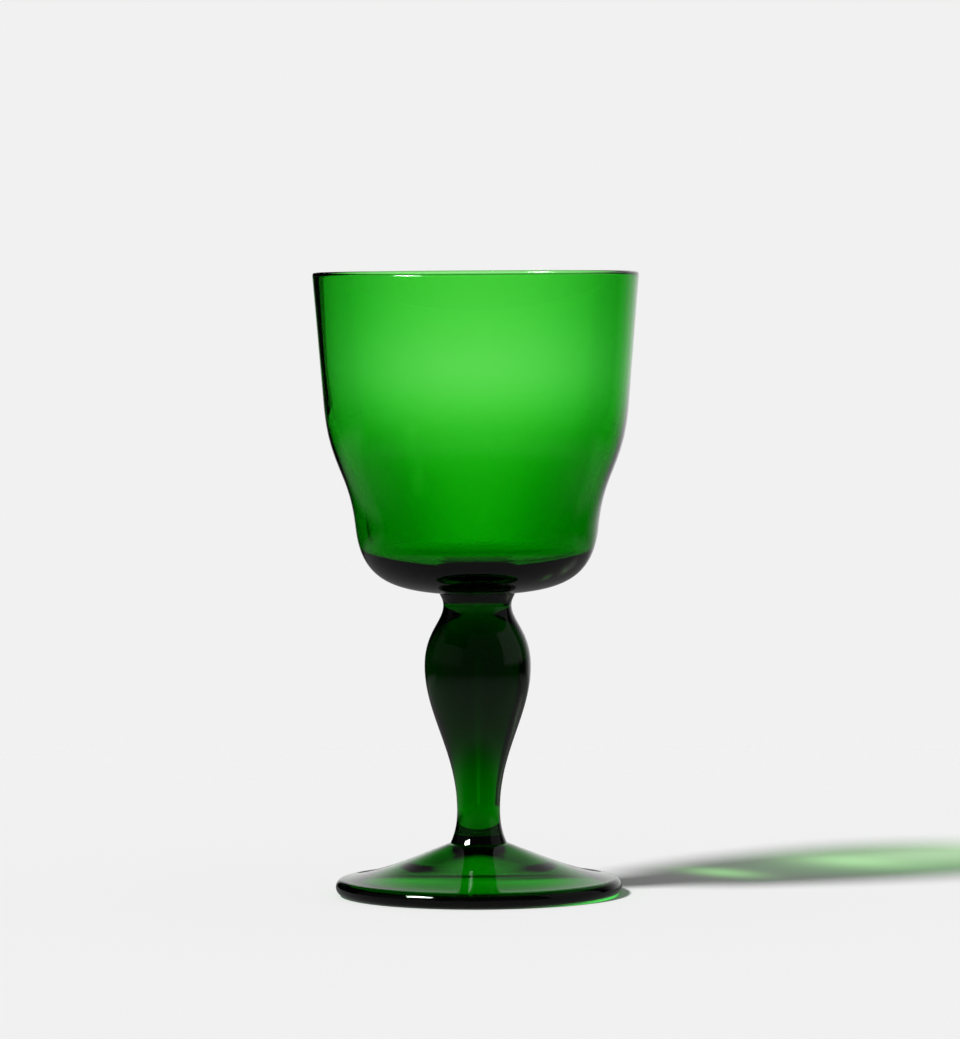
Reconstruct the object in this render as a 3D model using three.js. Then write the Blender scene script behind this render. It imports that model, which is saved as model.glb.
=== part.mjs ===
// A stemmed wine glass in green soda-lime glass, made of the three gathers of hot glass that a maker joins:
// a blown bowl, a solid drawn stem and a spun foot. The joints are fused faces, so nothing on it moves.
// Millimetres, +Z up, origin on the table under the middle of the foot.

import * as THREE from "three";

// Foot: a spun disc that climbs to the stem, with a rounded edge and a hollow underside
const footRadius = 35.2;
const footEdgeThickness = 4;
const footHeight = 12.7;
const footSlopeAtStem = 0.4;
const footSlopeAtEdge = 0.14;
const footPullAtStem = 9;
const footPullAtEdge = 9;
const footRestWidth = 1.6;
const footMiddleThickness = 2.9;
const footHollowPullAtMiddle = 5;
const footKneeRadius = 17;
const footKneeDrop = 7.4;
const footKneeSlope = 0.294;
const footKneePullIn = 5;
const footKneePullOut = 5;
const footHollowSlope = 0.5;
const footHollowPullAtRest = 4;

// Stem: a solid baluster, drawn thin above the foot and flared where it is stuck to each neighbour
const stemLength = 61.4;
const stemBaseRadius = 6.9;
const stemTopRadius = 9.4;
const shankRadius = 5.3;
const shankHeight = 8;
const knopRadius = 13.1;
const knopHeight = 43.5;
const neckRadius = 8.4;
const neckHeight = 58.5;
const stemBaseFlare = 0.45;
const stemTopFlare = 0.5;
const shankPullDown = 3.6;
const shankPullUp = 14.5;
const knopPullDown = 12;
const knopPullUp = 8.5;
const neckPullDown = 4;
const neckPullUp = 1.2;
const stemBasePull = 2;
const stemTopPull = 1;

// Bowl: a straight flaring wall over a shoulder, a waist and a round base
const bowlHeight = 78.6;
const rimRadius = 40;
const rimThickness = 1.5;
const shoulderRadius = 37.5;
const shoulderHeight = 47.3;
const bendRadius = 33;
const bendHeight = 28.9;
const bendSlope = 0.41;
const waistRadius = 29.85;
const waistHeight = 16.2;
const waistSlope = 0.11;
const shoulderPull = 8.4;
const bendPullUp = 6.6;
const bendPullDown = 5;
const waistPullUp = 4;
const waistPullDown = 11.5;
const baseSlope = 0.08;
const basePull = 13.2;
const wallThickness = 1.2;
const thinHeight = 55;
const heelThickness = 3.25;
const heelHeight = 11;
const floorThickness = 5.35;

// Fineness of the faceted surfaces
const facetsAround = 48;
const stepsPerCurve = 7;
const stepsPerRound = 8;
const stepsPerLine = 4;

const glass = { color: 0x1f9a2a, roughness: 0.05, metalness: 0, transparent: true, opacity: 0.6 };

// Spins a half section about +Z. The section runs from the axis, up the outside and back to the axis.
function spunMesh(name, section) {
  const geometry = new THREE.LatheGeometry(section, facetsAround);
  geometry.rotateX(Math.PI / 2);
  const mesh = new THREE.Mesh(geometry, new THREE.MeshStandardMaterial(glass));
  mesh.name = name;
  return mesh;
}

// A smooth stretch of outline between two points, each with the handle that sets its direction and fullness.
function curveBetween(start, startHandle, endHandle, end) {
  return new THREE.CubicBezierCurve(start, startHandle, endHandle, end).getPoints(stepsPerCurve);
}

// Half a circle of outline, turning anticlockwise from the given angle.
function halfRound(middle, radius, from) {
  const round = new THREE.EllipseCurve(middle.x, middle.y, radius, radius, from, from + Math.PI);
  return round.getPoints(stepsPerRound);
}

function point(radius, height) {
  return new THREE.Vector2(radius, height);
}

// Joins stretches of outline, keeping each shared end point once.
function joined(...stretches) {
  const outline = [];
  for (const vertex of stretches.flat()) {
    const last = outline.at(-1);
    if (!last || last.distanceTo(vertex) > 1e-6) outline.push(vertex);
  }
  return outline;
}

function footSection() {
  const edgeRadius = footEdgeThickness / 2;
  const edgeMiddle = footRadius - edgeRadius;
  const hollowRadius = edgeMiddle - footRestWidth;
  const hollowHeight = footHeight - footMiddleThickness;
  const kneeHeight = footHeight - footKneeDrop;
  const hollow = curveBetween(
    point(0, hollowHeight),
    point(footHollowPullAtMiddle, hollowHeight),
    point(footKneeRadius - footKneePullIn, kneeHeight + footKneeSlope * footKneePullIn),
    point(footKneeRadius, kneeHeight),
  );
  const skirt = curveBetween(
    point(footKneeRadius, kneeHeight),
    point(footKneeRadius + footKneePullOut, kneeHeight - footKneeSlope * footKneePullOut),
    point(hollowRadius - footHollowPullAtRest, footHollowSlope * footHollowPullAtRest),
    point(hollowRadius, 0),
  );
  const edge = halfRound(point(edgeMiddle, edgeRadius), edgeRadius, -Math.PI / 2);
  const top = curveBetween(
    point(edgeMiddle, footEdgeThickness),
    point(edgeMiddle - footPullAtEdge, footEdgeThickness + footSlopeAtEdge * footPullAtEdge),
    point(stemBaseRadius + footPullAtStem, footHeight - footSlopeAtStem * footPullAtStem),
    point(stemBaseRadius, footHeight),
  );
  return joined(hollow, skirt, edge, top, [point(0, footHeight)]);
}

function stemSection() {
  const baseFlare = curveBetween(
    point(stemBaseRadius, 0),
    point(stemBaseRadius - stemBaseFlare * stemBasePull, stemBasePull),
    point(shankRadius, shankHeight - shankPullDown),
    point(shankRadius, shankHeight),
  );
  const shankToKnop = curveBetween(
    point(shankRadius, shankHeight),
    point(shankRadius, shankHeight + shankPullUp),
    point(knopRadius, knopHeight - knopPullDown),
    point(knopRadius, knopHeight),
  );
  const knopToNeck = curveBetween(
    point(knopRadius, knopHeight),
    point(knopRadius, knopHeight + knopPullUp),
    point(neckRadius, neckHeight - neckPullDown),
    point(neckRadius, neckHeight),
  );
  const topFlare = curveBetween(
    point(neckRadius, neckHeight),
    point(neckRadius, neckHeight + neckPullUp),
    point(stemTopRadius - stemTopFlare * stemTopPull, stemLength - stemTopPull),
    point(stemTopRadius, stemLength),
  );
  return joined([point(0, 0)], baseFlare, shankToKnop, knopToNeck, topFlare, [point(0, stemLength)]);
}

// The straight wall leans outwards by this much for each millimetre it climbs.
const wallSlope = (rimRadius - shoulderRadius) / (bowlHeight - shoulderHeight);
const wallLean = Math.atan(wallSlope);

// The middle of the rim's round lip, and the points where the outer and inner faces run into it.
const lipRadius = rimThickness / 2;
const lipMiddle = point(rimRadius - lipRadius, bowlHeight - lipRadius);
const lipToOuter = point(Math.cos(wallLean), -Math.sin(wallLean)).multiplyScalar(lipRadius);

// The outer face of the bowl, from its joint with the stem to the start of the lip.
function bowlOuterFace() {
  const base = curveBetween(
    point(stemTopRadius, 0),
    point(stemTopRadius + basePull, baseSlope * basePull),
    point(waistRadius - waistSlope * waistPullDown, waistHeight - waistPullDown),
    point(waistRadius, waistHeight),
  );
  const waist = curveBetween(
    point(waistRadius, waistHeight),
    point(waistRadius + waistSlope * waistPullUp, waistHeight + waistPullUp),
    point(bendRadius - bendSlope * bendPullDown, bendHeight - bendPullDown),
    point(bendRadius, bendHeight),
  );
  const shoulder = curveBetween(
    point(bendRadius, bendHeight),
    point(bendRadius + bendSlope * bendPullUp, bendHeight + bendPullUp),
    point(shoulderRadius - wallSlope * shoulderPull, shoulderHeight - shoulderPull),
    point(shoulderRadius, shoulderHeight),
  );
  const wall = new THREE.LineCurve(point(shoulderRadius, shoulderHeight), lipMiddle.clone().add(lipToOuter));
  return joined(base, waist, shoulder, wall.getPoints(stepsPerLine));
}

// How thick the bowl is at a height: fullest at the floor, heavy at the heel, finest above the shoulder.
function bowlThickness(height) {
  const aboveFloor = THREE.MathUtils.smoothstep(height, 0, heelHeight);
  const aboveHeel = THREE.MathUtils.smoothstep(height, heelHeight, thinHeight);
  const aboveThin = THREE.MathUtils.smoothstep(height, thinHeight, bowlHeight);
  const heel = THREE.MathUtils.lerp(floorThickness, heelThickness, aboveFloor);
  const wall = THREE.MathUtils.lerp(heel, wallThickness, aboveHeel);
  return THREE.MathUtils.lerp(wall, rimThickness, aboveThin);
}

// The outer face moved inwards, square to itself, by the bowl's thickness at each point.
function bowlInnerFace(outer) {
  const last = outer.length - 1;
  return outer.map((vertex, i) => {
    if (i === 0) return point(vertex.x, floorThickness);
    if (i === last) return lipMiddle.clone().sub(lipToOuter);
    const along = outer[i + 1].clone().sub(outer[i - 1]).normalize();
    return vertex.clone().addScaledVector(point(-along.y, along.x), bowlThickness(vertex.y));
  });
}

function bowlSection() {
  const outer = bowlOuterFace();
  const lip = halfRound(lipMiddle, lipRadius, -wallLean);
  const inner = bowlInnerFace(outer).reverse();
  return joined([point(0, 0)], outer, lip, inner, [point(0, floorThickness)]);
}

const foot = spunMesh("foot", footSection());

const stem = spunMesh("stem", stemSection());
stem.position.z = footHeight;

const bowl = spunMesh("bowl", bowlSection());
bowl.position.z = footHeight + stemLength;

const wineGlass = new THREE.Group();
wineGlass.name = "wine_glass";
wineGlass.add(foot, stem, bowl);

export default wineGlass;
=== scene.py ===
import math

import bpy
from mathutils import Matrix, Vector


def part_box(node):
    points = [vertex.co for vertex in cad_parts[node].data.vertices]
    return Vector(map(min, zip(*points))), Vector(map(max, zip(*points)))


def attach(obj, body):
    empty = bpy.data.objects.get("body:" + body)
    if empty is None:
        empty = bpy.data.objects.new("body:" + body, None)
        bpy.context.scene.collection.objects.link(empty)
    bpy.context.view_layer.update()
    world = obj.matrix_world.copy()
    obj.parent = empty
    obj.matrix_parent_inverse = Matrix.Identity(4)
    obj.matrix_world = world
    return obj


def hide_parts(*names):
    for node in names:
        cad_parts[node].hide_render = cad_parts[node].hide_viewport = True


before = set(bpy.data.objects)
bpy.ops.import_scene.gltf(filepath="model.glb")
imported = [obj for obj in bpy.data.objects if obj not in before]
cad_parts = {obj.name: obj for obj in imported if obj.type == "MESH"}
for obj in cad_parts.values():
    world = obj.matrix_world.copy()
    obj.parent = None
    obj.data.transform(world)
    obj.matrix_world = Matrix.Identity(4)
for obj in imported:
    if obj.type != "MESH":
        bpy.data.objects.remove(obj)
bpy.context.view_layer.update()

mm = 0.001
scene = bpy.context.scene


# Small helpers for building node trees
def addNode(tree, kind, **settings):
    made = tree.nodes.new(kind)
    for name, value in settings.items():
        setattr(made, name, value)
    return made


def wire(tree, socket, source):
    if hasattr(source, "is_output"):
        tree.links.new(source, socket)
    else:
        socket.default_value = source


def maths(tree, operation, *sources):
    made = addNode(tree, "ShaderNodeMath", operation=operation)
    for socket, source in zip(made.inputs, sources):
        wire(tree, socket, source)
    return made.outputs[0]


def ramp(tree, value, start, end, low=0.0, high=1.0):
    made = addNode(tree, "ShaderNodeMapRange", interpolation_type="SMOOTHSTEP")
    wire(tree, made.inputs["Value"], value)
    wire(tree, made.inputs["From Min"], start)
    wire(tree, made.inputs["From Max"], end)
    made.inputs["To Min"].default_value = low
    made.inputs["To Max"].default_value = high
    return made.outputs[0]


def between(tree, value, ends, edge):
    rise = ramp(tree, value, ends[0] - edge, ends[0] + edge)
    fall = ramp(tree, value, ends[1] + edge, ends[1] - edge)
    return maths(tree, "MULTIPLY", rise, fall)


# A Mix node has one pair of inputs and one output for each kind of value
mixSockets = {"FLOAT": (2, 3, 0), "RGBA": (6, 7, 2)}


def mixed(tree, kind, share, first, second):
    made = addNode(tree, "ShaderNodeMix", data_type=kind)
    a, b, result = mixSockets[kind]
    wire(tree, made.inputs[0], share)
    wire(tree, made.inputs[a], first)
    wire(tree, made.inputs[b], second)
    return made.outputs[result]


def mixedShader(tree, share, first, second):
    made = addNode(tree, "ShaderNodeMixShader")
    for socket, source in zip(made.inputs, (share, first, second)):
        tree.links.new(source, socket)
    return made.outputs[0]


def objectPlace(tree):
    place = addNode(tree, "ShaderNodeSeparateXYZ")
    tree.links.new(addNode(tree, "ShaderNodeTexCoord").outputs["Object"], place.inputs[0])
    return place.outputs


def flatRadius(tree, place):
    squares = [maths(tree, "POWER", place[axis], 2) for axis in ("X", "Y")]
    return maths(tree, "SQRT", maths(tree, "ADD", *squares))


def turnFromCamera(tree, place):
    facing = maths(tree, "MULTIPLY", place["Y"], -1.0)
    return maths(tree, "DEGREES", maths(tree, "ARCTAN2", place["X"], facing))


def newMaterial(name):
    material = bpy.data.materials.new(name)
    material.use_nodes = True
    material.node_tree.nodes.clear()
    return material, material.node_tree


# Camera, fitted to the outline in the photo
photoView = {
    "imageHigh": 1039,        # pixels
    "focal": 6225.6,          # pixels
    "sensor": 36,             # millimetres, along the image's longer side
    "distance": 1522.9 * mm,  # from the stem's axis
    "height": 168.1 * mm,     # above the table
    "pitchDown": 2.8575,      # degrees
    "roll": 0.33,             # degrees, so that the glass leans a little to the left
    "sideways": 0.76 * mm,
}


def makeCamera(view):
    data = bpy.data.cameras.new("photoCamera")
    data.sensor_width = view["sensor"]
    data.lens = view["focal"] / view["imageHigh"] * view["sensor"]
    camera = bpy.data.objects.new("photoCamera", data)
    scene.collection.objects.link(camera)
    camera.location = (view["sideways"], -view["distance"], view["height"])
    tilt = Matrix.Rotation(math.radians(90 - view["pitchDown"]), 4, "X")
    roll = Matrix.Rotation(math.radians(-view["roll"]), 4, "Z")
    camera.rotation_euler = (tilt @ roll).to_euler()
    scene.camera = camera


makeCamera(photoView)
print("camera placed")

# Where the three gathers of glass meet, taken from the frame
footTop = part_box("foot")[1][2]
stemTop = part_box("stem")[1][2]
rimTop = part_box("bowl")[1][2]
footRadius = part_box("foot")[1][0]
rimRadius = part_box("bowl")[1][0]
jointGap = 0.01 * mm      # the fused faces stand this far from their shared plane

footShape = {
    "edgeThickness": 4 * mm,
    "slopeAtStem": 0.4,
    "slopeAtEdge": 0.14,
    "pullAtStem": 9 * mm,
    "pullAtEdge": 9 * mm,
    "restWidth": 1.6 * mm,
    "middleThickness": 2.9 * mm,
    "hollowPullAtMiddle": 5 * mm,
    "kneeRadius": 17 * mm,
    "kneeDrop": 7.4 * mm,
    "kneeSlope": 0.294,
    "kneePullIn": 5 * mm,
    "kneePullOut": 5 * mm,
    "hollowSlope": 0.5,
    "hollowPullAtRest": 4 * mm,
}

stemShape = {
    "baseRadius": 6.9 * mm,
    "topRadius": 9.4 * mm,
    "shankRadius": 5.3 * mm,
    "shankHeight": 8 * mm,
    "knopRadius": 13.1 * mm,
    "knopHeight": 43.5 * mm,
    "neckRadius": 8.4 * mm,
    "neckHeight": 58.5 * mm,
    "baseFlare": 0.45,
    "topFlare": 0.5,
    "shankPullDown": 3.6 * mm,
    "shankPullUp": 14.5 * mm,
    "knopPullDown": 12 * mm,
    "knopPullUp": 8.5 * mm,
    "neckPullDown": 4 * mm,
    "neckPullUp": 1.2 * mm,
    "basePull": 2 * mm,
    "topPull": 1 * mm,
}

bowlShape = {
    "rimThickness": 1.5 * mm,
    "shoulderRadius": 37.5 * mm,
    "shoulderHeight": 47.3 * mm,
    "bendRadius": 33 * mm,
    "bendHeight": 28.9 * mm,
    "bendSlope": 0.41,
    "waistRadius": 29.85 * mm,
    "waistHeight": 16.2 * mm,
    "waistSlope": 0.11,
    "shoulderPull": 8.4 * mm,
    "bendPullUp": 6.6 * mm,
    "bendPullDown": 5 * mm,
    "waistPullUp": 4 * mm,
    "waistPullDown": 11.5 * mm,
    "baseSlope": 0.08,
    "basePull": 13.2 * mm,
    "wallThickness": 1.2 * mm,
    "heelThickness": 3.25 * mm,
    "floorThickness": 5.35 * mm,
    "thinHeight": 55 * mm,
    "heelHeight": 11 * mm,
}

fineness = {
    "curveSteps": 28,    # points on each smooth stretch of a section
    "roundSteps": 20,    # points round the rim and the edge of the foot
    "facetsAround": 224,
}


def smoothStretch(start, startHandle, endHandle, end):
    points = []
    for i in range(fineness["curveSteps"] + 1):
        t = i / fineness["curveSteps"]
        u = 1 - t
        weights = (u * u * u, 3 * u * u * t, 3 * u * t * t, t * t * t)
        corners = (start, startHandle, endHandle, end)
        points.append(tuple(sum(w * c[axis] for w, c in zip(weights, corners)) for axis in (0, 1)))
    return points


def straightStretch(start, end):
    points = []
    for i in range(fineness["curveSteps"] + 1):
        t = i / fineness["curveSteps"]
        points.append((start[0] + (end[0] - start[0]) * t, start[1] + (end[1] - start[1]) * t))
    return points


def halfRound(middle, radius, fromAngle):
    points = []
    for i in range(fineness["roundSteps"] + 1):
        angle = fromAngle + math.pi * i / fineness["roundSteps"]
        points.append((middle[0] + radius * math.cos(angle), middle[1] + radius * math.sin(angle)))
    return points


def joined(*stretches):
    outline = []
    for point in (p for stretch in stretches for p in stretch):
        if not outline or math.dist(outline[-1], point) > 1e-7:
            outline.append(point)
    return outline


def footSection(shape):
    stemRadius = stemShape["baseRadius"]
    top = footTop - jointGap
    edgeRadius = shape["edgeThickness"] / 2
    edgeMiddle = footRadius - edgeRadius
    hollowRadius = edgeMiddle - shape["restWidth"]
    hollowHeight = footTop - shape["middleThickness"]
    knee = (shape["kneeRadius"], footTop - shape["kneeDrop"])
    hollow = smoothStretch(
        (0, hollowHeight),
        (shape["hollowPullAtMiddle"], hollowHeight),
        (knee[0] - shape["kneePullIn"], knee[1] + shape["kneeSlope"] * shape["kneePullIn"]),
        knee,
    )
    skirt = smoothStretch(
        knee,
        (knee[0] + shape["kneePullOut"], knee[1] - shape["kneeSlope"] * shape["kneePullOut"]),
        (hollowRadius - shape["hollowPullAtRest"], shape["hollowSlope"] * shape["hollowPullAtRest"]),
        (hollowRadius, 0),
    )
    edge = halfRound((edgeMiddle, edgeRadius), edgeRadius, -math.pi / 2)
    rise = shape["slopeAtEdge"] * shape["pullAtEdge"]
    upper = smoothStretch(
        (edgeMiddle, shape["edgeThickness"]),
        (edgeMiddle - shape["pullAtEdge"], shape["edgeThickness"] + rise),
        (stemRadius + shape["pullAtStem"], top - shape["slopeAtStem"] * shape["pullAtStem"]),
        (stemRadius, top),
    )
    return joined(hollow, skirt, edge, upper, [(0, top)])


def stemSection(shape):
    low = footTop + jointGap
    high = stemTop - jointGap
    shank = footTop + shape["shankHeight"]
    knop = footTop + shape["knopHeight"]
    neck = footTop + shape["neckHeight"]
    base = smoothStretch(
        (shape["baseRadius"], low),
        (shape["baseRadius"] - shape["baseFlare"] * shape["basePull"], low + shape["basePull"]),
        (shape["shankRadius"], shank - shape["shankPullDown"]),
        (shape["shankRadius"], shank),
    )
    shankToKnop = smoothStretch(
        (shape["shankRadius"], shank),
        (shape["shankRadius"], shank + shape["shankPullUp"]),
        (shape["knopRadius"], knop - shape["knopPullDown"]),
        (shape["knopRadius"], knop),
    )
    knopToNeck = smoothStretch(
        (shape["knopRadius"], knop),
        (shape["knopRadius"], knop + shape["knopPullUp"]),
        (shape["neckRadius"], neck - shape["neckPullDown"]),
        (shape["neckRadius"], neck),
    )
    top = smoothStretch(
        (shape["neckRadius"], neck),
        (shape["neckRadius"], neck + shape["neckPullUp"]),
        (shape["topRadius"] - shape["topFlare"] * shape["topPull"], high - shape["topPull"]),
        (shape["topRadius"], high),
    )
    return joined([(0, low)], base, shankToKnop, knopToNeck, top, [(0, high)])


def smoothStep(x, low, high):
    t = min(max((x - low) / (high - low), 0), 1)
    return t * t * (3 - 2 * t)


def bowlThickness(shape, height):
    aboveFloor = smoothStep(height, 0, shape["heelHeight"])
    aboveHeel = smoothStep(height, shape["heelHeight"], shape["thinHeight"])
    thickness = shape["floorThickness"]
    thickness += (shape["heelThickness"] - thickness) * aboveFloor
    thickness += (shape["wallThickness"] - thickness) * aboveHeel
    aboveWall = smoothStep(height, shape["thinHeight"], rimTop - stemTop)
    return thickness + (shape["rimThickness"] - thickness) * aboveWall


def bowlSection(shape):
    seat = stemTop + jointGap
    jointRadius = stemShape["topRadius"]
    shoulder = (shape["shoulderRadius"], stemTop + shape["shoulderHeight"])
    bend = (shape["bendRadius"], stemTop + shape["bendHeight"])
    waist = (shape["waistRadius"], stemTop + shape["waistHeight"])
    wallSlope = (rimRadius - shoulder[0]) / (rimTop - shoulder[1])
    wallLean = math.atan(wallSlope)
    lipRadius = shape["rimThickness"] / 2
    lipMiddle = (rimRadius - lipRadius, rimTop - lipRadius)
    toOuter = (lipRadius * math.cos(wallLean), -lipRadius * math.sin(wallLean))

    def above(point, slope, pull):
        return point[0] + slope * pull, point[1] + pull

    base = smoothStretch(
        (jointRadius, seat),
        (jointRadius + shape["basePull"], seat + shape["baseSlope"] * shape["basePull"]),
        above(waist, shape["waistSlope"], -shape["waistPullDown"]),
        waist,
    )
    toBend = smoothStretch(
        waist,
        above(waist, shape["waistSlope"], shape["waistPullUp"]),
        above(bend, shape["bendSlope"], -shape["bendPullDown"]),
        bend,
    )
    toShoulder = smoothStretch(
        bend,
        above(bend, shape["bendSlope"], shape["bendPullUp"]),
        above(shoulder, wallSlope, -shape["shoulderPull"]),
        shoulder,
    )
    wall = straightStretch(shoulder, (lipMiddle[0] + toOuter[0], lipMiddle[1] + toOuter[1]))
    outer = joined(base, toBend, toShoulder, wall)
    lip = halfRound(lipMiddle, lipRadius, -wallLean)
    inner = [(jointRadius, stemTop + shape["floorThickness"])]
    for before, here, after in zip(outer, outer[1:], outer[2:]):
        along = (after[0] - before[0], after[1] - before[1])
        reach = bowlThickness(shape, here[1] - stemTop) / math.hypot(*along)
        inner.append((here[0] - along[1] * reach, here[1] + along[0] * reach))
    inner.append((lipMiddle[0] - toOuter[0], lipMiddle[1] - toOuter[1]))
    inner.reverse()
    return joined([(0, seat)], outer, lip, inner, [(0, stemTop + shape["floorThickness"])])


# A Geometry Nodes tree that spins a section about the stem's axis
handFinish = {
    "wobble": 0.08 * mm,       # how far a worked face strays from round
    "wobbleSize": 28,          # waves per metre, roughly
    "fusedReach": 0.03 * mm,   # faces this close to a joint's plane are fused
    "sharpAngle": 30,          # degrees
    "mergeReach": 0.0005 * mm,
    "jointEase": 6 * mm,       # the wobble dies away over this height at a joint
    "axisEase": 8 * mm,        # and over this radius at the axis
}


def spinTree(finish):
    tree = bpy.data.node_groups.new("spinAboutStem", "GeometryNodeTree")
    face = tree.interface
    face.new_socket("Section", in_out="INPUT", socket_type="NodeSocketGeometry")
    face.new_socket("Facets", in_out="INPUT", socket_type="NodeSocketInt")
    for name in ("Wobble", "Wobble Size", "Seed", "Low Joint", "High Joint", "Fused Reach", "Sharp Angle"):
        face.new_socket(name, in_out="INPUT", socket_type="NodeSocketFloat")
    face.new_socket("Glass", in_out="INPUT", socket_type="NodeSocketMaterial")
    face.new_socket("Spun", in_out="OUTPUT", socket_type="NodeSocketGeometry")
    links = tree.links
    given = addNode(tree, "NodeGroupInput").outputs
    outline = given["Section"]

    # One grid row for each outline point, one column for each facet
    size = addNode(tree, "GeometryNodeAttributeDomainSize", component="MESH")
    links.new(outline, size.inputs[0])
    across = maths(tree, "ADD", given["Facets"], 1)
    grid = addNode(tree, "GeometryNodeMeshGrid")
    links.new(size.outputs["Point Count"], grid.inputs["Vertices X"])
    links.new(across, grid.inputs["Vertices Y"])
    index = addNode(tree, "GeometryNodeInputIndex").outputs[0]
    row = maths(tree, "FLOOR", maths(tree, "DIVIDE", maths(tree, "ADD", index, 0.5), across))
    column = maths(tree, "SUBTRACT", index, maths(tree, "MULTIPLY", row, across))
    turn = maths(tree, "DIVIDE", column, given["Facets"])
    angle = maths(tree, "MULTIPLY", turn, 2 * math.pi)
    cosine = maths(tree, "COSINE", angle)
    sine = maths(tree, "SINE", angle)
    sample = addNode(tree, "GeometryNodeSampleIndex", data_type="FLOAT_VECTOR", domain="POINT")
    links.new(outline, sample.inputs["Geometry"])
    links.new(addNode(tree, "GeometryNodeInputPosition").outputs[0], sample.inputs["Value"])
    links.new(row, sample.inputs["Index"])
    parts = addNode(tree, "ShaderNodeSeparateXYZ")
    links.new(sample.outputs["Value"], parts.inputs[0])
    radius = parts.outputs["X"]
    height = parts.outputs["Z"]

    def around(reach):
        place = addNode(tree, "ShaderNodeCombineXYZ")
        links.new(maths(tree, "MULTIPLY", reach, cosine), place.inputs["X"])
        links.new(maths(tree, "MULTIPLY", reach, sine), place.inputs["Y"])
        links.new(height, place.inputs["Z"])
        return place.outputs[0]

    # The wobble of hand work only takes glass away, so the piece stays inside its true size
    noise = addNode(tree, "ShaderNodeTexNoise", noise_dimensions="4D")
    links.new(around(radius), noise.inputs["Vector"])
    links.new(given["Seed"], noise.inputs["W"])
    links.new(given["Wobble Size"], noise.inputs["Scale"])
    noise.inputs["Detail"].default_value = 0
    toLow = maths(tree, "ABSOLUTE", maths(tree, "SUBTRACT", height, given["Low Joint"]))
    toHigh = maths(tree, "ABSOLUTE", maths(tree, "SUBTRACT", height, given["High Joint"]))
    offJoint = ramp(tree, maths(tree, "MINIMUM", toLow, toHigh), 0.0, finish["jointEase"])
    offAxis = ramp(tree, radius, 0.0, finish["axisEase"])
    wobble = maths(tree, "MULTIPLY", maths(tree, "MULTIPLY", given["Wobble"], offJoint), offAxis)
    worked = maths(tree, "SUBTRACT", radius, maths(tree, "MULTIPLY", wobble, noise.outputs[0]))
    moved = addNode(tree, "GeometryNodeSetPosition")
    links.new(grid.outputs["Mesh"], moved.inputs["Geometry"])
    links.new(around(worked), moved.inputs["Position"])

    # Close the seam and the poles, and turn the faces outwards
    merged = addNode(tree, "GeometryNodeMergeByDistance")
    links.new(moved.outputs[0], merged.inputs["Geometry"])
    merged.inputs["Distance"].default_value = finish["mergeReach"]
    flipped = addNode(tree, "GeometryNodeFlipFaces")
    links.new(merged.outputs[0], flipped.inputs[0])

    # Mark the fused faces
    middle = addNode(tree, "ShaderNodeSeparateXYZ")
    links.new(addNode(tree, "GeometryNodeInputPosition").outputs[0], middle.inputs[0])
    nearLow = maths(tree, "COMPARE", middle.outputs["Z"], given["Low Joint"], given["Fused Reach"])
    nearHigh = maths(tree, "COMPARE", middle.outputs["Z"], given["High Joint"], given["Fused Reach"])
    marked = addNode(tree, "GeometryNodeStoreNamedAttribute", data_type="FLOAT", domain="FACE")
    links.new(flipped.outputs[0], marked.inputs["Geometry"])
    marked.inputs["Name"].default_value = "fused"
    links.new(maths(tree, "MAXIMUM", nearLow, nearHigh), marked.inputs["Value"])

    soft = addNode(tree, "GeometryNodeSetShadeSmooth", domain="FACE")
    links.new(marked.outputs[0], soft.inputs["Geometry"])
    sharp = addNode(tree, "GeometryNodeSetShadeSmooth", domain="EDGE")
    links.new(soft.outputs[0], sharp.inputs["Geometry"])
    fold = addNode(tree, "GeometryNodeInputMeshEdgeAngle").outputs["Unsigned Angle"]
    links.new(maths(tree, "GREATER_THAN", fold, given["Sharp Angle"]), sharp.inputs["Selection"])
    sharp.inputs["Shade Smooth"].default_value = False

    real = addNode(tree, "GeometryNodeRealizeInstances")
    links.new(sharp.outputs[0], real.inputs[0])
    glazed = addNode(tree, "GeometryNodeSetMaterial")
    links.new(real.outputs[0], glazed.inputs["Geometry"])
    links.new(given["Glass"], glazed.inputs["Material"])
    links.new(glazed.outputs[0], addNode(tree, "NodeGroupOutput").inputs["Spun"])
    return tree


def spunPiece(name, section, tree, material, seed, joints):
    line = bpy.data.meshes.new(name + "Section")
    edges = [(i, i + 1) for i in range(len(section) - 1)]
    line.from_pydata([(radius, 0, height) for radius, height in section], edges, [])
    maker = bpy.data.objects.new(name + "Maker", line)
    scene.collection.objects.link(maker)
    spin = maker.modifiers.new("spin", "NODES")
    spin.node_group = tree
    values = {
        "Facets": fineness["facetsAround"],
        "Wobble": handFinish["wobble"],
        "Wobble Size": handFinish["wobbleSize"],
        "Seed": seed,
        "Low Joint": joints[0],
        "High Joint": joints[1],
        "Fused Reach": handFinish["fusedReach"],
        "Sharp Angle": math.radians(handFinish["sharpAngle"]),
        "Glass": material,
    }
    for item in tree.interface.items_tree:
        if item.in_out == "INPUT" and item.name in values:
            spin[item.identifier] = values[item.name]
    evaluated = maker.evaluated_get(bpy.context.evaluated_depsgraph_get())
    mesh = bpy.data.meshes.new_from_object(evaluated)
    mesh.name = name
    bpy.data.objects.remove(maker)
    piece = bpy.data.objects.new(name, mesh)
    scene.collection.objects.link(piece)
    return piece


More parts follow.
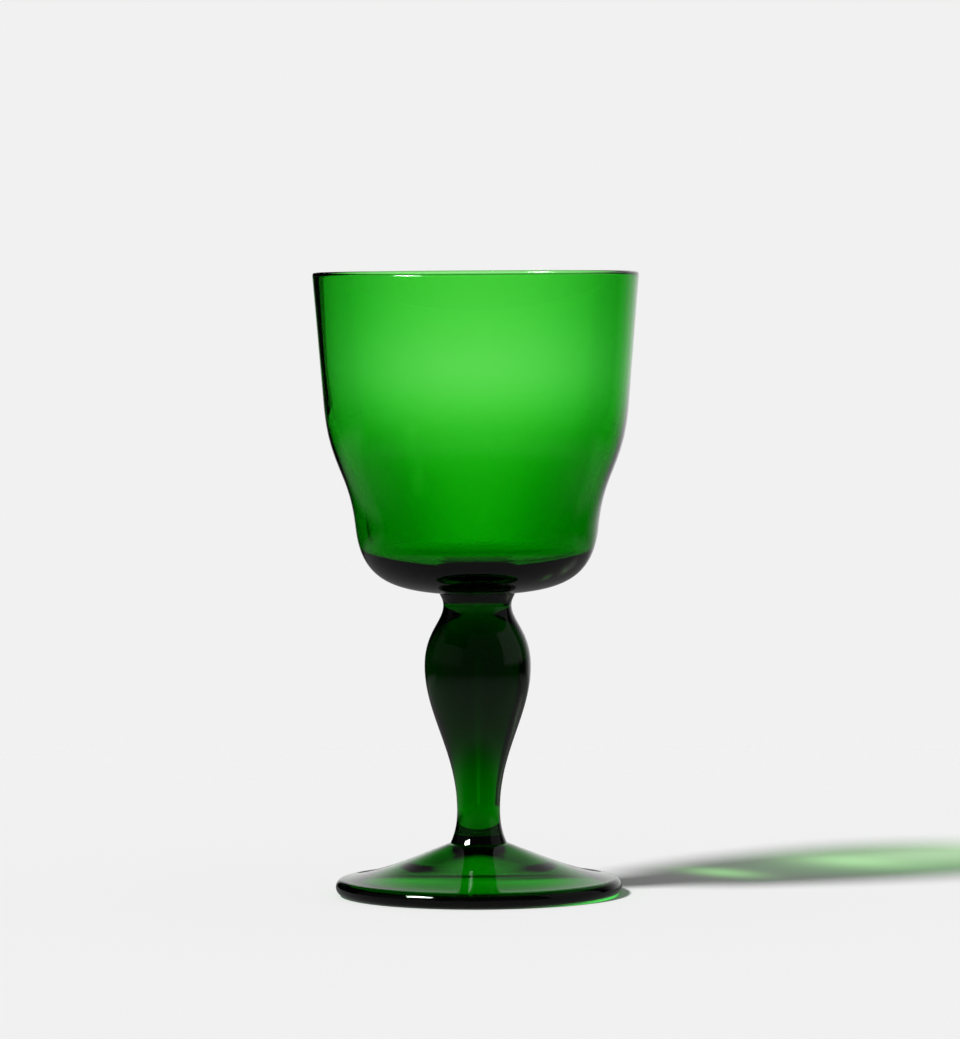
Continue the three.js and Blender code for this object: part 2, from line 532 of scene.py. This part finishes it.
# Green glass
greenGlass = {
    "ior": 1.5,
    "absorbPerMm": (0.95, 0.2, 1.06),   # red, green, blue
    "roughness": 0.0,
    "paleTint": (0.97, 1.0, 0.97),
    "deepTint": (0.92, 1.0, 0.93),
    "streakSize": 34,          # per metre
    "streakStretch": 0.35,     # streaks run up the glass
    "streakDetail": 2,
    "streakFrom": 0.35,        # noise from which the pale tint deepens
    "streakTo": 0.7,
    "waveSize": 90,            # per metre
    "waveDetail": 1,
    "waveDepth": 0.006 * mm,
    "slantFrom": 0.35,         # how far a face turns from the key before its shadow darkens
    "slantTo": 0.85,
    "slantLeft": 0.3,          # light left behind the most slanted faces
    "shadeEase": 8 * mm,
    "bowlShade": 0.76,         # light left behind the bowl
    "edgeReach": 4.5 * mm,
    "edgeShade": 0.85,         # light taken by the foot's round edge
}


def finishGroup(look):
    group = bpy.data.node_groups.new("glassFinish", "ShaderNodeTree")
    face = group.interface
    for name in ("Pale", "Deep"):
        face.new_socket(name, in_out="INPUT", socket_type="NodeSocketColor")
    for name in ("Streak Size", "Streak Stretch", "Wave Size"):
        face.new_socket(name, in_out="INPUT", socket_type="NodeSocketFloat")
    face.new_socket("Color", in_out="OUTPUT", socket_type="NodeSocketColor")
    face.new_socket("Height", in_out="OUTPUT", socket_type="NodeSocketFloat")
    links = group.links
    given = addNode(group, "NodeGroupInput").outputs
    made = addNode(group, "NodeGroupOutput").inputs
    place = addNode(group, "ShaderNodeTexCoord").outputs["Object"]
    drawn = addNode(group, "ShaderNodeCombineXYZ")
    drawn.inputs["X"].default_value = 1
    drawn.inputs["Y"].default_value = 1
    links.new(given["Streak Stretch"], drawn.inputs["Z"])
    stretched = addNode(group, "ShaderNodeVectorMath", operation="MULTIPLY")
    links.new(place, stretched.inputs[0])
    links.new(drawn.outputs[0], stretched.inputs[1])
    streaks = addNode(group, "ShaderNodeTexNoise")
    streaks.inputs["Detail"].default_value = look["streakDetail"]
    links.new(stretched.outputs[0], streaks.inputs["Vector"])
    links.new(given["Streak Size"], streaks.inputs["Scale"])
    deepness = ramp(group, streaks.outputs[0], look["streakFrom"], look["streakTo"])
    links.new(mixed(group, "RGBA", deepness, given["Pale"], given["Deep"]), made["Color"])
    waves = addNode(group, "ShaderNodeTexNoise")
    waves.inputs["Detail"].default_value = look["waveDetail"]
    links.new(place, waves.inputs["Vector"])
    links.new(given["Wave Size"], waves.inputs["Scale"])
    links.new(waves.outputs[0], made["Height"])
    return group


def makeGlass(look):
    material, tree = newMaterial("greenGlass")
    links = tree.links
    output = addNode(tree, "ShaderNodeOutputMaterial")
    glass = addNode(tree, "ShaderNodeBsdfPrincipled")
    finish = addNode(tree, "ShaderNodeGroup", node_tree=finishGroup(look))
    finish.inputs["Pale"].default_value = (*look["paleTint"], 1)
    finish.inputs["Deep"].default_value = (*look["deepTint"], 1)
    finish.inputs["Streak Size"].default_value = look["streakSize"]
    finish.inputs["Streak Stretch"].default_value = look["streakStretch"]
    finish.inputs["Wave Size"].default_value = look["waveSize"]
    links.new(finish.outputs["Color"], glass.inputs["Base Color"])
    waves = addNode(tree, "ShaderNodeBump")
    waves.inputs["Distance"].default_value = look["waveDepth"]
    links.new(finish.outputs["Height"], waves.inputs["Height"])
    links.new(waves.outputs[0], glass.inputs["Normal"])
    glass.inputs["Roughness"].default_value = look["roughness"]
    glass.inputs["IOR"].default_value = look["ior"]
    glass.inputs["Transmission Weight"].default_value = 1
    # The bowl and the round edge of the foot bend the key's light away, so their shadows are darker
    slant = addNode(tree, "ShaderNodeLayerWeight").outputs["Facing"]
    place = objectPlace(tree)
    radius = flatRadius(tree, place)
    height = place["Z"]
    ease = look["shadeEase"]
    slanted = ramp(tree, slant, look["slantFrom"], look["slantTo"], 1.0, look["slantLeft"])
    atBowl = ramp(tree, height, stemTop - ease, stemTop + ease, 1.0, look["bowlShade"])
    edgeFrom = footRadius - look["edgeReach"]
    outside = ramp(tree, radius, edgeFrom, edgeFrom + look["edgeReach"] / 2)
    atEdge = maths(tree, "MULTIPLY", outside, ramp(tree, height, footTop / 2, footTop, 1.0, 0.0))
    edgeShade = maths(tree, "SUBTRACT", 1.0, maths(tree, "MULTIPLY", atEdge, look["edgeShade"]))
    lampSide = addNode(tree, "ShaderNodeBsdfTransparent")
    lightLeft = maths(tree, "MULTIPLY", maths(tree, "MULTIPLY", slanted, atBowl), edgeShade)
    links.new(lightLeft, lampSide.inputs["Color"])
    isShadow = addNode(tree, "ShaderNodeLightPath").outputs["Is Shadow Ray"]
    lamps = mixedShader(tree, isShadow, glass.outputs[0], lampSide.outputs[0])
    # Light runs straight through the fused faces
    fused = addNode(tree, "ShaderNodeAttribute", attribute_name="fused").outputs["Fac"]
    through = addNode(tree, "ShaderNodeBsdfTransparent").outputs[0]
    links.new(mixedShader(tree, fused, lamps, through), output.inputs["Surface"])
    body = addNode(tree, "ShaderNodeVolumeAbsorption")
    strongest = max(look["absorbPerMm"])
    body.inputs["Color"].default_value = (*(1 - a / strongest for a in look["absorbPerMm"]), 1)
    body.inputs["Density"].default_value = strongest / mm
    links.new(body.outputs[0], output.inputs["Volume"])
    return material


glassMaterial = makeGlass(greenGlass)
spin = spinTree(handFinish)
farAway = 9    # metres, where an end has no joint
foot = spunPiece("foot_glass", footSection(footShape), spin, glassMaterial, 1, (-farAway, footTop))
stem = spunPiece("stem_glass", stemSection(stemShape), spin, glassMaterial, 2, (footTop, stemTop))
bowl = spunPiece("bowl_glass", bowlSection(bowlShape), spin, glassMaterial, 3, (stemTop, farAway))
for piece, node in ((foot, "foot"), (stem, "stem"), (bowl, "bowl")):
    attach(piece, "root")
    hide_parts(node)
    print(piece.name, len(piece.data.polygons), "faces")

# Studio: a pale table that fades into a pale backdrop, and one soft key light
studio = {
    "pale": 0.8796,           # the backdrop's brightness
    "tableAlbedo": 0.9,
    "tableRadius": 1.6,       # metres
    "tableSides": 96,
    "fadeFrom": 0.26,         # the table fades into the backdrop
    "fadeTo": 0.5,
    "tableDrop": 0.05 * mm,
    # The mirror values paint the table's reflection in the glass: a fixed brightness that stands in for its
    # lit paper
    "mirrorNear": 0.16,       # brightness of the table where the glass mirrors it
    "mirrorFrom": 0.08,
    "mirrorTo": 0.45,
    "mirrorBack": 0.15,       # and behind the glass
    "mirrorBackFrom": 0.03,
    "mirrorBackTo": 0.1,
    "keyShare": 0.78,
    "keyTurn": -56,           # degrees from the camera's side, to the left
    "keyClimb": 47,
    "keySize": 11,
}

# Black cards round the glass, in metres and degrees
cards = {
    "knopCard": {      # keeps the key's glint off the knop
        "toKey": 0.1,
        "across": (-0.06, 0.06),
        "heights": (0.108, 0.185),
    },
    "bendCard": {      # keeps it off the bend of the bowl
        "height": 0.1535,
        "across": (-0.07, -0.015),
        "depths": (-0.034, 0.03),
    },
    "apronCard": {     # hides the table from the bowl
        "height": 0.08,
        "radii": (0.034, 0.085),
        "softEdge": 0.02,
        "reach": 105,
        "fadeFrom": 35,
    },
    "shankCard": {     # hides the table from the shank
        "height": 0.02,
        "radii": (0.008, 0.031),
        "softEdge": 0.008,
        "reach": 105,
        "fadeFrom": 60,
    },
    "stripeCard": {    # darkens the left side of the bowl
        "back": 0.08,
        "across": (-0.16, -0.055),
        "heights": (0.1, 0.165),
    },
}
ringSteps = 24    # straight sides on each edge of the ring-shaped cards

# Light painted on the table where the glass would gather it in its shadow: millimetres along the shadow and
# across it, and what it adds
paintedCaustics = [
    {"along": 77, "across": -4, "long": 5, "wide": 10, "light": (0.14, 0.38, 0.1)},
    {"along": 119, "across": -6, "long": 8, "wide": 13, "light": (0.13, 0.26, 0.1)},
    {"along": 150, "across": -7, "long": 26, "wide": 16, "light": (0.2, 0.22, 0.17)},
    {"along": 12, "across": 12, "long": 9, "wide": 9, "light": (0.06, 0.45, 0.08)},
    {"along": -15, "across": -11, "long": 8, "wide": 8, "light": (0.05, 0.32, 0.07)},
]

# A thin bright line of light painted on the table under the right edge of the foot
paintedEdgeLine = {
    "radius": 34 * mm,
    "wide": 0.25 * mm,
    "angle": 58,          # degrees from the camera's side, right positive
    "angleWide": 16,
    "light": (0.06, 1.6, 0.1),
}


def shadowAxes(look):
    turn = math.radians(look["keyTurn"])
    return (-math.sin(turn), math.cos(turn)), (math.cos(turn), math.sin(turn))


def makeTable(look, patches, line):
    count = look["tableSides"]
    turns = [2 * math.pi * i / count for i in range(count)]
    reach = look["tableRadius"]
    mesh = bpy.data.meshes.new("table")
    ring = [(reach * math.cos(turn), reach * math.sin(turn), -look["tableDrop"]) for turn in turns]
    mesh.from_pydata(ring, [], [range(count)])
    table = bpy.data.objects.new("table", mesh)
    scene.collection.objects.link(table)
    material, tree = newMaterial("tablePaper")
    links = tree.links
    output = addNode(tree, "ShaderNodeOutputMaterial")
    paper = addNode(tree, "ShaderNodeBsdfDiffuse")
    paper.inputs["Color"].default_value = (look["tableAlbedo"],) * 3 + (1,)
    spot = objectPlace(tree)
    distance = flatRadius(tree, spot)
    angle = turnFromCamera(tree, spot)
    # Where the glass mirrors the table, the table shows a painted reflection, brighter near the glass and
    # behind it, instead of its lit paper
    mirrored = addNode(tree, "ShaderNodeEmission")
    backEnds = (look["mirrorBackFrom"], look["mirrorBackTo"])
    near = ramp(tree, distance, look["mirrorFrom"], look["mirrorTo"], look["mirrorNear"], 0.0)
    behind = ramp(tree, spot["Y"], *backEnds, 0.0, look["mirrorBack"])
    links.new(maths(tree, "MAXIMUM", near, behind), mirrored.inputs["Strength"])
    path = addNode(tree, "ShaderNodeLightPath")
    # A ray bent by clear glass counts as a glossy one too
    straight = maths(tree, "SUBTRACT", 1.0, path.outputs["Is Transmission Ray"])
    isMirrored = maths(tree, "MULTIPLY", path.outputs["Is Glossy Ray"], straight)
    lit = mixedShader(tree, isMirrored, paper.outputs[0], mirrored.outputs[0])
    along, across = (
        maths(
            tree,
            "ADD",
            maths(tree, "MULTIPLY", spot["X"], axis[0]),
            maths(tree, "MULTIPLY", spot["Y"], axis[1]),
        )
        for axis in shadowAxes(look)
    )
    # Each patch, and the line under the foot, is painted light: a glow added to the table's paper
    shapes = [
        (
            (along, patch["along"] * mm, patch["long"] * mm),
            (across, patch["across"] * mm, patch["wide"] * mm),
            patch["light"],
        )
        for patch in patches
    ]
    shapes.append(
        (
            (distance, line["radius"], line["wide"]),
            (angle, line["angle"], line["angleWide"]),
            line["light"],
        )
    )
    for *spreads, light in shapes:
        far = []
        for value, middle, reach in spreads:
            offset = maths(tree, "SUBTRACT", value, middle)
            far.append(maths(tree, "POWER", maths(tree, "DIVIDE", offset, reach), 2))
        fall = maths(tree, "EXPONENT", maths(tree, "MULTIPLY", maths(tree, "ADD", *far), -0.5))
        shine = addNode(tree, "ShaderNodeEmission")
        shine.inputs["Color"].default_value = (*light, 1)
        links.new(fall, shine.inputs["Strength"])
        both = addNode(tree, "ShaderNodeAddShader")
        links.new(lit, both.inputs[0])
        links.new(shine.outputs[0], both.inputs[1])
        lit = both.outputs[0]
    clear = addNode(tree, "ShaderNodeBsdfTransparent")
    faded = ramp(tree, distance, look["fadeFrom"], look["fadeTo"])
    links.new(mixedShader(tree, faded, lit, clear.outputs[0]), output.inputs["Surface"])
    mesh.materials.append(material)


# What the glass shows of the studio: angles in degrees, turn from straight behind the glass, right positive
seenThrough = {
    "level": 0.78,
    "levelTint": (0.55, 1.0, 0.75),
    "high": 0.12,
    "highFrom": 8,
    "highTo": 35,
    "glow": 0.44,
    "glowWide": 1.9,
    "flagDepth": 0.88,
    "flagEdge": 5,
    "flagNear": -36,
    "flagEnd": -75,
    "flagGone": -85,
}
seenMirrored = {
    "front": 0.03,
    "side": 0.004,
    "sideTo": 80,
    "frontFrom": 110,
    "glint": 120.0,
    "glintClimb": 38,
    "glintWide": 11,
    "glintTall": 6,
    "glintEdge": 1.5,
    "rightPanel": {"turns": (64, 120), "climbs": (0, 50), "edge": 3, "level": 0.15},
    "leftPanel": {"turns": (-145, -64), "climbs": (0, 30), "edge": 3, "level": 0.04},
    "lowLeft": {"turns": (-80, -12), "climbs": (-30, -13), "edge": 4, "level": 0.15},
    "backLow": 0.85,
    "backHigh": 0.18,
    "climbFrom": 3,
    "climbTo": 32,
    "underLevel": 0.4,
    "underFrom": -12,
    "underTo": -2,
    "leftGone": -16,
    "leftFull": -6,
    "rightFull": 12,
    "rightGone": 60,
}


def makeWorld(look, through, mirror):
    world = bpy.data.worlds.new("studio")
    scene.world = world
    world.use_nodes = True
    tree = world.node_tree
    tree.nodes.clear()
    links = tree.links
    output = addNode(tree, "ShaderNodeOutputWorld")
    path = addNode(tree, "ShaderNodeLightPath").outputs
    aim = addNode(tree, "ShaderNodeSeparateXYZ")
    links.new(addNode(tree, "ShaderNodeTexCoord").outputs["Generated"], aim.inputs[0])
    turn = maths(tree, "DEGREES", maths(tree, "ARCTAN2", aim.outputs["X"], aim.outputs["Y"]))
    climb = maths(tree, "DEGREES", maths(tree, "ARCSINE", aim.outputs["Z"]))

    # Seen through the glass: a bright backdrop with a glow in its middle and a dark flag to the left
    high = ramp(tree, climb, through["highFrom"], through["highTo"], 1.0, through["high"])
    spread = maths(tree, "POWER", maths(tree, "DIVIDE", turn, through["glowWide"]), 2)
    middle = maths(tree, "EXPONENT", maths(tree, "MULTIPLY", spread, -0.5))
    glow = maths(tree, "MULTIPLY", middle, through["glow"])
    flagFrom = through["flagNear"] - through["flagEdge"]
    flag = maths(
        tree,
        "MULTIPLY",
        ramp(tree, turn, flagFrom, through["flagNear"], through["flagDepth"], 0.0),
        ramp(tree, turn, through["flagGone"], through["flagEnd"]),
    )
    backdrop = maths(tree, "MULTIPLY", maths(tree, "ADD", glow, through["level"]), high)
    lit = maths(tree, "MULTIPLY", backdrop, maths(tree, "SUBTRACT", 1.0, flag))

    # Mirrored in the glass: a dark room in front, the pale backdrop behind
    climbEnds = (mirror["climbFrom"], mirror["climbTo"])
    backdrop = ramp(tree, climb, *climbEnds, mirror["backLow"], mirror["backHigh"])
    under = ramp(tree, climb, mirror["underFrom"], mirror["underTo"], mirror["underLevel"], 1.0)
    behind = maths(
        tree,
        "MULTIPLY",
        ramp(tree, turn, mirror["leftGone"], mirror["leftFull"]),
        ramp(tree, turn, mirror["rightFull"], mirror["rightGone"], 1.0, 0.0),
    )
    behind = maths(tree, "MULTIPLY", behind, under)
    toSide = maths(tree, "ABSOLUTE", turn)
    front = ramp(tree, toSide, mirror["sideTo"], mirror["frontFrom"], mirror["side"], mirror["front"])
    room = maths(tree, "ADD", maths(tree, "MULTIPLY", backdrop, behind), front)
    keyTurn = -180 - look["keyTurn"]
    glint = {
        "turns": (keyTurn - mirror["glintWide"], keyTurn + mirror["glintWide"]),
        "climbs": (mirror["glintClimb"] - mirror["glintTall"], mirror["glintClimb"] + mirror["glintTall"]),
        "edge": mirror["glintEdge"],
        "level": mirror["glint"],
    }
    for panel in (*(mirror[name] for name in ("rightPanel", "leftPanel", "lowLeft")), glint):
        inTurn = between(tree, turn, panel["turns"], panel["edge"])
        inClimb = between(tree, climb, panel["climbs"], panel["edge"])
        shown = maths(tree, "MULTIPLY", maths(tree, "MULTIPLY", inTurn, inClimb), panel["level"])
        room = maths(tree, "ADD", room, shown)

    fill = look["pale"] * (1 - look["keyShare"]) / look["tableAlbedo"]
    afterTable = maths(tree, "MINIMUM", path["Diffuse Depth"], 1.0)
    straight = maths(tree, "SUBTRACT", 1.0, afterTable)
    seen = maths(tree, "MULTIPLY", path["Is Transmission Ray"], straight)
    brightness = fill
    for source, share in (
        (room, maths(tree, "MULTIPLY", path["Is Glossy Ray"], straight)),
        (lit, seen),
        (look["pale"], path["Is Camera Ray"]),
    ):
        brightness = mixed(tree, "FLOAT", share, brightness, source)
    greened = maths(tree, "MULTIPLY", seen, maths(tree, "SUBTRACT", 1.0, middle))
    tint = mixed(tree, "RGBA", greened, (1, 1, 1, 1), (*through["levelTint"], 1))
    sky = addNode(tree, "ShaderNodeBackground")
    links.new(brightness, sky.inputs["Strength"])
    links.new(tint, sky.inputs["Color"])
    links.new(sky.outputs[0], output.inputs["Surface"])


def makeKey(look):
    data = bpy.data.lights.new("key", "SUN")
    climb = math.radians(look["keyClimb"])
    turn = math.radians(look["keyTurn"])
    data.angle = math.radians(look["keySize"])
    data.energy = look["pale"] * look["keyShare"] * math.pi / (look["tableAlbedo"] * math.sin(climb))
    key = bpy.data.objects.new("key", data)
    scene.collection.objects.link(key)
    toKey = Vector((math.sin(turn) * math.cos(climb), -math.cos(turn) * math.cos(climb), math.sin(climb)))
    key.rotation_euler = toKey.to_track_quat("Z", "Y").to_euler()
    key.visible_glossy = False
    key.visible_transmission = False


def cardCorner(card, look, i, j):
    across = card["across"][i]
    if "depths" in card:
        return across, card["depths"][j], card["height"]
    if "back" in card:
        return across, card["back"], card["heights"][j]
    flat = [-o * card["toKey"] + s * across for o, s in zip(*shadowAxes(look))]
    return *flat, card["heights"][j]


def ringCorners(card):
    corners = []
    for radius, order in zip(card["radii"], (1, -1)):
        for i in range(ringSteps + 1):
            turn = math.radians(card["reach"] * (2 * i / ringSteps - 1) * order)
            corners.append((radius * math.sin(turn), -radius * math.cos(turn), card["height"]))
    return corners


# A ring-shaped card fades at its ends and its outer edge, and only rays that come down on it see it
def ringClear(tree, card):
    place = objectPlace(tree)
    outer = card["radii"][1]
    toSide = maths(tree, "ABSOLUTE", turnFromCamera(tree, place))
    sideFade = ramp(tree, toSide, card["fadeFrom"], card["reach"])
    edgeFade = ramp(tree, flatRadius(tree, place), outer - card["softEdge"], outer)
    fade = maths(tree, "MAXIMUM", sideFade, edgeFade)
    fromAbove = addNode(tree, "ShaderNodeNewGeometry").outputs["Backfacing"]
    return maths(tree, "MAXIMUM", fade, maths(tree, "SUBTRACT", 1.0, fromAbove))


def makeCard(name, card, look):
    isRing = "radii" in card
    if isRing:
        corners = ringCorners(card)
    else:
        corners = [cardCorner(card, look, i, j) for i, j in ((0, 0), (1, 0), (1, 1), (0, 1))]
    mesh = bpy.data.meshes.new(name)
    mesh.from_pydata(corners, [], [range(len(corners))])
    sheet = bpy.data.objects.new(name, mesh)
    scene.collection.objects.link(sheet)
    material, tree = newMaterial(name)
    black = addNode(tree, "ShaderNodeBsdfDiffuse")
    black.inputs["Color"].default_value = (0, 0, 0, 1)
    clear = addNode(tree, "ShaderNodeBsdfTransparent")
    # The card behind the glass shows only through it, and the others only as mirrored in it
    share = addNode(tree, "ShaderNodeLightPath").outputs["Is Transmission Ray"]
    if isRing:
        share = maths(tree, "MAXIMUM", share, ringClear(tree, card))
    ends = (clear, black) if "back" in card else (black, clear)
    seen = mixedShader(tree, share, *(end.outputs[0] for end in ends))
    tree.links.new(seen, addNode(tree, "ShaderNodeOutputMaterial").inputs["Surface"])
    mesh.materials.append(material)
    sheet.visible_camera = False
    sheet.visible_diffuse = False
    sheet.visible_shadow = False


makeTable(studio, paintedCaustics, paintedEdgeLine)
for name, card in cards.items():
    makeCard(name, card, studio)
makeWorld(studio, seenThrough, seenMirrored)
makeKey(studio)
scene.view_settings.view_transform = "Standard"
scene.cycles.max_bounces = 24
scene.cycles.transmission_bounces = 24
scene.cycles.glossy_bounces = 12
scene.cycles.transparent_max_bounces = 24
print("studio lit")
